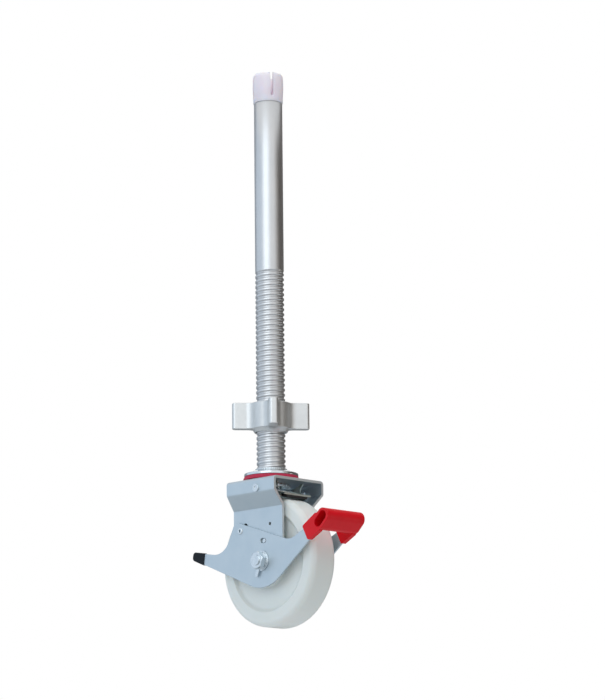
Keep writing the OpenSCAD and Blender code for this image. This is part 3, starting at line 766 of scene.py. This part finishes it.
@dataclass
class Plug:
    """Slit plastic plug whose fingers spring against the frame tube's bore.

    Attributes:
        base: Height of the tube's end.
        inside: How deep the plug goes into the tube.
        shank: Radius inside the tube.
        bore: Radius of the bore.
        slots: Number of slots.
        slot_w: Width of a slot.
        slot_low: Where the slots end above the tube.
        turn_deg: Bearing of the first slot.
        least_gap: Half the slot's width at its foot.
        columns: Faces across a finger.
        collar: Radius of the collar on the tube's end.
        root: Radius at a finger's root.
        draft: How much each step up the slot's foot widens the finger.
        steps: Heights over which the slot's foot is round.
        finger: Radius and height of the finger above its root, out, over its end and into the bore.
    """

    base: float = 271.0
    inside: float = 34.0
    shank: float = 18.45
    bore: float = 13.5
    slots: int = 4
    slot_w: float = 5.2
    slot_low: float = 8.6
    turn_deg: float = -29.0
    least_gap: float = 0.6
    columns: int = 14
    collar: float = 23.3
    root: float = 23.6
    draft: float = 0.06
    steps: tuple[float, ...] = (0.0, 0.7, 1.5, 2.6)
    finger: Profile = (
        (24.3, 23.6), (24.1, 37.76), (23.5, 43.8), (22.6, 45.7), (21.2, 46.8), (19.8, 47.2), (18.6, 47.2),
        (17.9, 46.4), (14.8, 18.88))

    def half_gap(self, height: float) -> float:
        """Find half a slot's width, round at its foot.

        Args:
            height: Height above the tube.

        Returns:
            Half the width.
        """
        half = self.slot_w / 2
        sink = min(half, max(0.0, half - (height - self.slot_low)))
        return max(self.least_gap, math.sqrt(half ** 2 - sink ** 2))

    def build(self, shop: Workshop) -> None:
        """Build the plug.

        Args:
            shop: Workshop that takes it.
        """
        steps = [self.slot_low + rise for rise in self.steps]
        foot = [(self.shank, -self.inside), (self.shank, 0.0), (self.collar, 0.0)]
        finger = [(self.root + k * self.draft, z) for k, z in enumerate(steps)] + list(self.finger)
        finger += [(self.bore, z) for z in reversed(steps)]
        profile = foot + finger + [(self.bore, -self.inside)]
        first, last, share = len(foot), len(foot) + len(finger) - 1, math.tau / self.slots
        shape = bmesh.new()
        rows = []
        for r, z in profile:
            back = math.asin(self.half_gap(z) / r)
            rows.append([[shape.verts.new((r * MM * math.cos(a), r * MM * math.sin(a), (self.base + z) * MM))
                          for a in spread(start + back, start + share - back, self.columns)]
                         for start in (math.radians(self.turn_deg) + k * share for k in range(self.slots))])
        for i, row in enumerate(rows):
            ahead = rows[(i + 1) % len(rows)]
            for k in range(self.slots):
                for j in range(self.columns - 1):
                    shape.faces.new((row[k][j], row[k][j + 1], ahead[k][j + 1], ahead[k][j]))
                if not first <= i < last:
                    n = (k + 1) % self.slots
                    shape.faces.new((row[k][-1], row[n][0], ahead[n][0], ahead[k][-1]))
        for k in range(self.slots):
            n = (k + 1) % self.slots
            shape.faces.new((rows[first][k][-1], rows[first][n][0], rows[last][n][0], rows[last][k][-1]))
            shape.faces.new([rows[i][k][-1] for i in range(first, last + 1)])
            shape.faces.new([rows[i][n][0] for i in range(first, last + 1)])
        shop.keep(link_object("stem_plug_fine", finish_mesh(shape, "stem_plug_fine")), PLUG_PLASTIC, "stem_plug")


@dataclass
class SwivelHead:
    """Ball race, lock ring and kingpin fasteners."""

    ball_ring: float = 27.0
    ball: float = 8.0
    count: int = 18
    height: float = -328.0

    def build(self, shop: Workshop) -> None:
        """Build the swivel head's pieces.

        Args:
            shop: Workshop that takes them.
        """
        balls = grow(ball_tree(), "swivel_balls_fine", {
            "Ring Radius": self.ball_ring * MM, "Ball Radius": self.ball / 2 * MM, "Count": self.count,
            "Material": shop.material(BEARING_STEEL)})
        balls.data.transform(Matrix.Translation((0, 0, self.height * MM)))
        shop.keep(balls, BEARING_STEEL, "swivel_balls")
        shop.refine("crown_race", BRIGHT_ZINC, 0.4, angle_deg=BEND_DEG)
        for node, edge in (("lock_ring", 0.4), ("kingpin_washer", 0.3), ("kingpin_nut", 0.7)):
            shop.refine(node, BRIGHT_ZINC, edge)
        shop.show(BRONZE, "swivel_bush", "thrust_washer")


@dataclass
class CollarNut:
    """Winged collar nut that carries the frame leg.

    Attributes:
        wings: Number of wings.
        turn_deg: Bearing of the first wing.
        reach: Distance from the axis to a wing's end.
        half: Half a wing's width.
        corner: Radius of a wing's corners.
        hub: Radius of the hub between the wings.
        fillet: Radius where a wing meets the hub.
        height: Height of the wings.
        skirt: Height of the collar under the hub.
        skirt_r: Radius at the collar's foot and where it meets the hub.
        bore: Radius of the bore.
        mouth: Size of the bore's chamfers.
        edge: Radius of the cast edges.
    """

    wings: int = 4
    turn_deg: float = 50.0
    reach: float = 60.0
    half: float = 7.0
    corner: float = 4.5
    hub: float = 30.8
    fillet: float = 14.0
    height: float = 41.0
    skirt: float = 5.0
    skirt_r: Pair = (25.5, 28.5)
    bore: float = 22.6
    mouth: float = 2.0
    edge: float = 1.5

    def outline(self) -> list[Pair]:
        """Lay out the nut from above.

        Returns:
            Radius and bearing of the points in turn.
        """
        out = self.half + self.fillet
        along = math.sqrt((self.hub + self.fillet) ** 2 - out ** 2)
        meet = math.atan2(out, along)
        side = [(self.hub * math.cos(a), self.hub * math.sin(a)) for a in spread(math.pi / self.wings, meet, 9)[:-1]]
        side += [(along + self.fillet * math.cos(a), out + self.fillet * math.sin(a))
                 for a in spread(meet - math.pi, -math.pi / 2, 8)]
        side += [(self.reach - self.corner + self.corner * math.cos(a), self.half - self.corner
                  + self.corner * math.sin(a)) for a in spread(math.pi / 2, 0.0, 6)]
        wing = [(x, -y) for x, y in side] + side[:0:-1]
        return [(math.hypot(x, y), math.atan2(y, x) + math.radians(self.turn_deg) + k * math.tau / self.wings)
                for k in range(self.wings) for x, y in wing]

    def build(self, shop: Workshop) -> None:
        """Build the collar nut.

        Args:
            shop: Workshop that takes it.
        """
        low = min(v.co.z for v in frame["nodes"]["collar_nut"].data.vertices) + self.skirt * MM
        points = self.outline()
        rings = [(self.bore, self.height - self.mouth), (self.bore + self.mouth, self.height), (0.0, self.height),
                 (0.0, 0.0), (self.skirt_r[1], 0.0), (self.skirt_r[0], -self.skirt),
                 (self.bore + self.mouth, -self.skirt), (self.bore, self.mouth - self.skirt)]
        shape = bmesh.new()
        loops = [[shape.verts.new(((r or wide) * MM * math.cos(a), (r or wide) * MM * math.sin(a), low + z * MM))
                  for wide, a in points] for r, z in rings]
        for one, two in zip(loops, loops[1:] + loops[:1]):
            for k in range(len(points)):
                n = (k + 1) % len(points)
                shape.faces.new((one[k], one[n], two[n], two[k]))
        nut = link_object("collar_nut_fine", finish_mesh(shape, "collar_nut_fine", 180.0))
        bevel = nut.modifiers.new("edge", "BEVEL")
        bevel.width = self.edge * MM
        bevel.segments = 3
        bevel.limit_method = "ANGLE"
        bevel.angle_limit = math.radians(60.0)
        nut.modifiers.new("shade", "WEIGHTED_NORMAL").keep_sharp = False
        shop.keep(bake(nut), NUT_CAST, "collar_nut")


@dataclass
class Fork:
    """Pressed fork with its studs."""

    edge: float = 0.6
    stud_edge: float = 0.5

    def build(self, shop: Workshop) -> None:
        """Build the fork's pieces.

        Args:
            shop: Workshop that takes them.
        """
        shop.refine("fork", SHEET_ZINC, self.edge, angle_deg=BEND_DEG)
        shop.refine("stop_studs", BRIGHT_ZINC, self.stud_edge)


@dataclass
class Axle:
    """Axle bolt, its nut and washers, the bushes and the ball bearings."""

    x: float = 15.0
    z: float = -462.0
    bearing_y: float = 18.0
    ball_ring: float = 16.75
    ball: float = 7.83
    count: int = 8

    def build(self, shop: Workshop) -> None:
        """Build the axle's pieces.

        Args:
            shop: Workshop that takes them.
        """
        balls = grow(ball_tree(), "bearing_balls_fine", {
            "Ring Radius": self.ball_ring * MM, "Ball Radius": self.ball / 2 * MM, "Count": self.count,
            "Material": shop.material(BEARING_STEEL)})
        upright = Matrix.Rotation(math.radians(90), 4, "X")
        places = [Matrix.Translation((self.x * MM, side * self.bearing_y * MM, self.z * MM)) @ upright
                  for side in (-1, 1)]
        old = balls.data
        balls.data = finish_mesh(copies(old, places), "bearing_balls_fine")
        bpy.data.meshes.remove(old)
        shop.keep(balls, BEARING_STEEL, "bearing_balls")
        for node, edge in (("axle_bolt", 0.8), ("axle_nut", 0.8), ("axle_washers", 0.35), ("tab_washer", 0.3),
                           ("pivot_bushes", 0.3)):
            shop.refine(node, BRIGHT_ZINC, edge)
        shop.show(BEARING_STEEL, "bearing_outer", "bearing_inner")
        shop.show(RUBBER, "bearing_seals")
        shop.show(DARK_STEEL, "axle_sleeve")


@dataclass
class Wheel:
    """Cast nylon wheel."""

    def build(self, shop: Workshop) -> None:
        """Build the wheel.

        Args:
            shop: Workshop that takes it.
        """
        shop.refine("wheel", NYLON, 0.0)


@dataclass
class Brake:
    """Brake plates, pedal, lever, shoe and spring."""

    pin_x: float = 21.0
    pin_z: float = -352.0
    wire: float = 1.8
    coil: float = 5.3
    rise: float = 2.1
    turns: float = 7.0
    spring_y: float = -16.0
    plate_edge: float = 0.5

    def spring_tree(self) -> bpy.types.GeometryNodeTree:
        """Draw the return spring from its wire.

        Returns:
            Tree that sweeps the wire along a helix.
        """
        tree, pin, target = new_tree("return_spring", {
            "Turns": "Float", "Coil Radius": "Float", "Wire Radius": "Float", "Length": "Float",
            "Material": "Material"})
        coil = add(tree, "GeometryNodeCurveSpiral", {
            "Resolution": 40, "Rotations": pin["Turns"], "Start Radius": pin["Coil Radius"],
            "End Radius": pin["Coil Radius"], "Height": pin["Length"]})
        wire = add(tree, "GeometryNodeCurvePrimitiveCircle", {"Resolution": 14, "Radius": pin["Wire Radius"]})
        swept = add(tree, "GeometryNodeCurveToMesh", {
            "Curve": coil.outputs[0], "Profile Curve": wire.outputs[0], "Fill Caps": True})
        close_tree(tree, swept.outputs[0], pin["Material"], target)
        return tree

    def build(self, shop: Workshop) -> None:
        """Build the brake's pieces.

        Args:
            shop: Workshop that takes them.
        """
        spring = grow(self.spring_tree(), "return_spring_fine", {
            "Turns": self.turns, "Coil Radius": self.coil * MM, "Wire Radius": self.wire / 2 * MM,
            "Length": self.rise * self.turns * MM, "Material": shop.material(SPRING_STEEL)})
        spring.data.transform(Matrix.Translation((self.pin_x * MM, self.spring_y * MM, self.pin_z * MM))
                              @ Matrix.Rotation(math.radians(90), 4, "X")
                              @ Matrix.Translation((0, 0, -self.rise * self.turns / 2 * MM)))
        shop.keep(spring, SPRING_STEEL, "return_spring")
        for node in ("brake_plate_near", "brake_plate_far"):
            shop.refine(node, SHEET_ZINC, self.plate_edge, angle_deg=BEND_DEG)
        for node, finish, edge, steps in (
                ("drive_rivets", BRIGHT_ZINC, 0.4, 2), ("tail_caps", BLACK_GRIP, 0.9, 3),
                ("brake_pedal", PEDAL_RED, 1.0, 3), ("brake_lever", PHOSPHATE, 0.35, 2),
                ("brake_shoe", RUBBER, 0.6, 2), ("lever_pin", BRIGHT_ZINC, 0.4, 2),
                ("pin_collars", BRIGHT_ZINC, 0.4, 2)):
            shop.refine(node, finish, edge, steps)


def ball_tree() -> bpy.types.GeometryNodeTree:
    """Set balls round a ring.

    Returns:
        Tree with one ball at each of the ring's points.
    """
    tree, pin, target = new_tree("ball_ring", {
        "Ring Radius": "Float", "Ball Radius": "Float", "Count": "Int", "Material": "Material"})
    ring = add(tree, "GeometryNodeMeshCircle", {"Vertices": pin["Count"], "Radius": pin["Ring Radius"]})
    ball = add(tree, "GeometryNodeMeshUVSphere", {"Segments": 32, "Rings": 16, "Radius": pin["Ball Radius"]})
    balls = add(tree, "GeometryNodeInstanceOnPoints", {"Points": ring.outputs[0], "Instance": ball.outputs[0]})
    close_tree(tree, balls.outputs[0], pin["Material"], target)
    return tree


# Studio


@dataclass(frozen=True)
class Camera:
    """Where the photograph was taken from, as fitted to it.

    Attributes:
        azimuth_deg: Bearing of the camera round the stem.
        elevation_deg: Its height as an angle, negative below the target.
        distance_m: Its distance from the target.
        target_m: Point that the bearing and the distance are counted from.
        pan: How far it is turned to its right.
        tilt: How far it is turned up.
        roll_deg: How far it leans.
        lens_mm: Focal length.
        sensor_mm: Width of the sensor.
        clip_m: Farthest distance that it sees.
    """

    azimuth_deg: float = 45.502
    elevation_deg: float = -8.945
    distance_m: float = 4.5155
    target_m: tuple[float, float, float] = (0.0, 0.0, -0.322)
    pan: float = 0.01109
    tilt: float = 0.0423
    roll_deg: float = -0.498
    lens_mm: float = 149.99
    sensor_mm: float = 36.0
    clip_m: float = 50.0

    def build(self) -> None:
        """Set up the camera."""
        az, el, roll = (math.radians(a) for a in (self.azimuth_deg, self.elevation_deg, self.roll_deg))
        back = Vector((math.sin(az) * math.cos(el), -math.cos(az) * math.cos(el), math.sin(el)))
        right = Vector((math.cos(az), math.sin(az), 0))
        up = right.cross(-back)
        ahead = (-back + right * self.pan + up * self.tilt).normalized()
        right = (right - right.dot(ahead) * ahead).normalized()
        up = right.cross(ahead)
        side = right * math.cos(roll) + up * math.sin(roll)
        top = up * math.cos(roll) - right * math.sin(roll)
        data = bpy.data.cameras.new("camera")
        data.lens = self.lens_mm
        data.sensor_width = self.sensor_mm
        data.clip_end = self.clip_m
        camera = bpy.data.objects.new("camera", data)
        bpy.context.scene.collection.objects.link(camera)
        spot = Vector(self.target_m) + back * self.distance_m
        camera.matrix_world = Matrix.Translation(spot) @ Matrix((side, top, -ahead)).transposed().to_4x4()
        bpy.context.scene.camera = camera


@dataclass(frozen=True)
class Lamp:
    """A soft rectangular lamp that points at the part.

    Attributes:
        name: Name of the lamp.
        power_w: Power.
        size_m: Width and height.
        spot: Bearing in degrees, distance from the stem and height in metres.
        tint: Its colour.
        mirrored: Whether metal mirrors it.
    """

    name: str
    power_w: float
    size_m: Pair
    spot: tuple[float, float, float]
    tint: str = "#E4F3FF"
    mirrored: bool = True


@dataclass(frozen=True)
class Card:
    """A card bent round the part that only mirrored light sees.

    Attributes:
        name: Name of the card.
        tone: Its colour.
        level: How bright its colour glows.
        bearings_deg: Where it starts and ends.
        heights_m: Its lower and upper edge.
        away_m: Its distance from the stem.
    """

    name: str
    tone: str
    level: float
    bearings_deg: Pair
    heights_m: Pair
    away_m: float


@dataclass(frozen=True)
class Studio:
    """Light tent: an even world, three soft lamps, and cards that only mirrored light sees.

    Attributes:
        fill: Strength of the world where it isn't seen.
        lamps: The lamps.
        aim_z_m: Height that they point at.
        cards: The cards.
        card_step_deg: Widest flat stretch of a card.
        floor_tone: Colour of the floor's glow.
        floor_level: How bright it glows.
        floor_z_m: Height of the floor.
        floor_half_m: Half its side.
    """

    fill: float = 0.36
    lamps: tuple[Lamp, ...] = (
        Lamp("key", 25.0, (2.3, 3.4), (-24.0, 2.8, 0.95)),
        Lamp("top", 34.0, (1.6, 1.6), (25.0, 1.1, 2.6), "#F6FBFF", False),
        Lamp("cool", 15.0, (2.0, 2.0), (-95.0, 3.0, -0.2), "#BDE0FF", False))
    aim_z_m: float = -0.1
    cards: tuple[Card, ...] = (
        Card("card_front", "#B3ACA4", 1.0, (54.0, 74.0), (-1.5, 1.9), 2.4),
        Card("card_side", "#57514B", 1.0, (74.0, 118.0), (-1.5, 1.9), 2.45),
        Card("card_back", "#6E6A66", 1.0, (118.0, 165.0), (-1.5, 1.9), 2.4),
        Card("card_left", "#9AA1A9", 1.0, (-165.0, -125.0), (-1.5, 1.9), 2.4),
        Card("card_sky", "#DFECFA", 1.03, (-125.0, -52.0), (-1.5, 2.2), 2.9),
        Card("card_low", "#4C4A48", 1.0, (100.0, 250.0), (-1.55, -0.3), 3.2),
        Card("strip", "#FFF8EE", 1.3, (86.0, 100.0), (-1.2, -0.38), 2.3))
    card_step_deg: float = 10.0
    floor_tone: str = "#DDE3E8"
    floor_level: float = 0.8
    floor_z_m: float = -1.6
    floor_half_m: float = 4.0

    def spot(self, bearing_deg: float, reach_m: float, height_m: float) -> Vector:
        """Find a place round the stem, counted from the camera towards its right.

        Args:
            bearing_deg: Angle from the camera.
            reach_m: Distance from the stem.
            height_m: Height in the part's frame.

        Returns:
            The place.
        """
        turn = math.radians(Camera().azimuth_deg + bearing_deg)
        return Vector((math.sin(turn) * reach_m, -math.cos(turn) * reach_m, height_m))

    def world(self) -> None:
        """Set an even world that is white where it is seen."""
        world = bpy.data.worlds.new("tent")
        world.use_nodes = True
        tree = world.node_tree
        tree.nodes.clear()
        path = add(tree, "ShaderNodeLightPath")
        seen = math_node(tree, "MAXIMUM", path.outputs["Is Camera Ray"], path.outputs["Is Glossy Ray"])
        level = add(tree, "ShaderNodeMapRange", {"Value": seen, "To Min": self.fill, "To Max": 1.0})
        light = add(tree, "ShaderNodeBackground", {"Color": (1, 1, 1, 1), "Strength": level.outputs[0]})
        add(tree, "ShaderNodeOutputWorld", {"Surface": light.outputs[0]})
        bpy.context.scene.world = world

    def hang(self, plan: Lamp) -> None:
        """Hang a lamp.

        Args:
            plan: The lamp's size, place and colour.
        """
        data = bpy.data.lights.new(plan.name, "AREA")
        data.shape = "RECTANGLE"
        data.energy = plan.power_w
        data.size, data.size_y = plan.size_m
        data.color = linear(plan.tint)[:3]
        lamp = bpy.data.objects.new(plan.name, data)
        bpy.context.scene.collection.objects.link(lamp)
        place = self.spot(*plan.spot)
        lamp.location = place
        lamp.visible_glossy = plan.mirrored
        lamp.rotation_euler = (Vector((0, 0, self.aim_z_m)) - place).to_track_quat("-Z", "Y").to_euler()

    def shine(self, name: str, tone: str, level: float) -> bpy.types.Material:
        """Make a card's surface, which glows by itself and is white to the camera.

        Args:
            name: Name of the material.
            tone: Its colour.
            level: How bright the colour glows.

        Returns:
            The material.
        """
        material = bpy.data.materials.new(name)
        material.use_nodes = True
        tree = material.node_tree
        tree.nodes.clear()
        path = add(tree, "ShaderNodeLightPath")
        own = add(tree, "ShaderNodeEmission", {"Color": linear(tone), "Strength": level})
        white = add(tree, "ShaderNodeEmission", {"Color": (1, 1, 1, 1), "Strength": 1.0})
        both = add(tree, "ShaderNodeMixShader", {0: path.outputs["Is Camera Ray"], 1: own.outputs[0],
                                                 2: white.outputs[0]})
        add(tree, "ShaderNodeOutputMaterial", {"Surface": both.outputs[0]})
        return material

    def bend(self, plan: Card) -> None:
        """Bend a card round the part.

        Args:
            plan: The card's size, place and colour.
        """
        first, last = plan.bearings_deg
        count = 2 + int((last - first) / self.card_step_deg)
        turns = spread(first, last, count)
        points = [tuple(self.spot(turn, plan.away_m, height)) for height in plan.heights_m for turn in turns]
        mesh = bpy.data.meshes.new(plan.name)
        mesh.from_pydata(points, [], [(k, k + 1, k + 1 + count, k + count) for k in range(count - 1)])
        mesh.materials.append(self.shine(plan.name, plan.tone, plan.level))
        card = link_object(plan.name, mesh)
        card.visible_diffuse = False
        card.visible_shadow = False
        card.visible_camera = False

    def floor(self) -> None:
        """Lay the white floor."""
        mesh = bpy.data.meshes.new("floor")
        half, low = self.floor_half_m, self.floor_z_m
        mesh.from_pydata([(-half, -half, low), (half, -half, low), (half, half, low), (-half, half, low)], [],
                         [(0, 1, 2, 3)])
        mesh.materials.append(self.shine("floor", self.floor_tone, self.floor_level))
        link_object("floor", mesh)

    def build(self) -> None:
        """Set up world, lamps, cards and colour management."""
        self.world()
        for lamp in self.lamps:
            self.hang(lamp)
        for card in self.cards:
            self.bend(card)
        self.floor()
        bpy.context.scene.view_settings.view_transform = "Standard"


def main() -> None:
    """Build the studio and every sub-assembly in order."""
    logging.basicConfig(level=logging.INFO, format="%(name)s %(message)s")
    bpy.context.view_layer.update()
    shop = Workshop({node: body for body, nodes in frame["record"]["behaviour"]["bodies"].items() for node in nodes})
    Camera().build()
    Studio().build()
    for part in (Stem(), Plug(), SwivelHead(), CollarNut(), Fork(), Axle(), Wheel(), Brake()):
        part.build(shop)


if __name__ == "__main__":
    main()
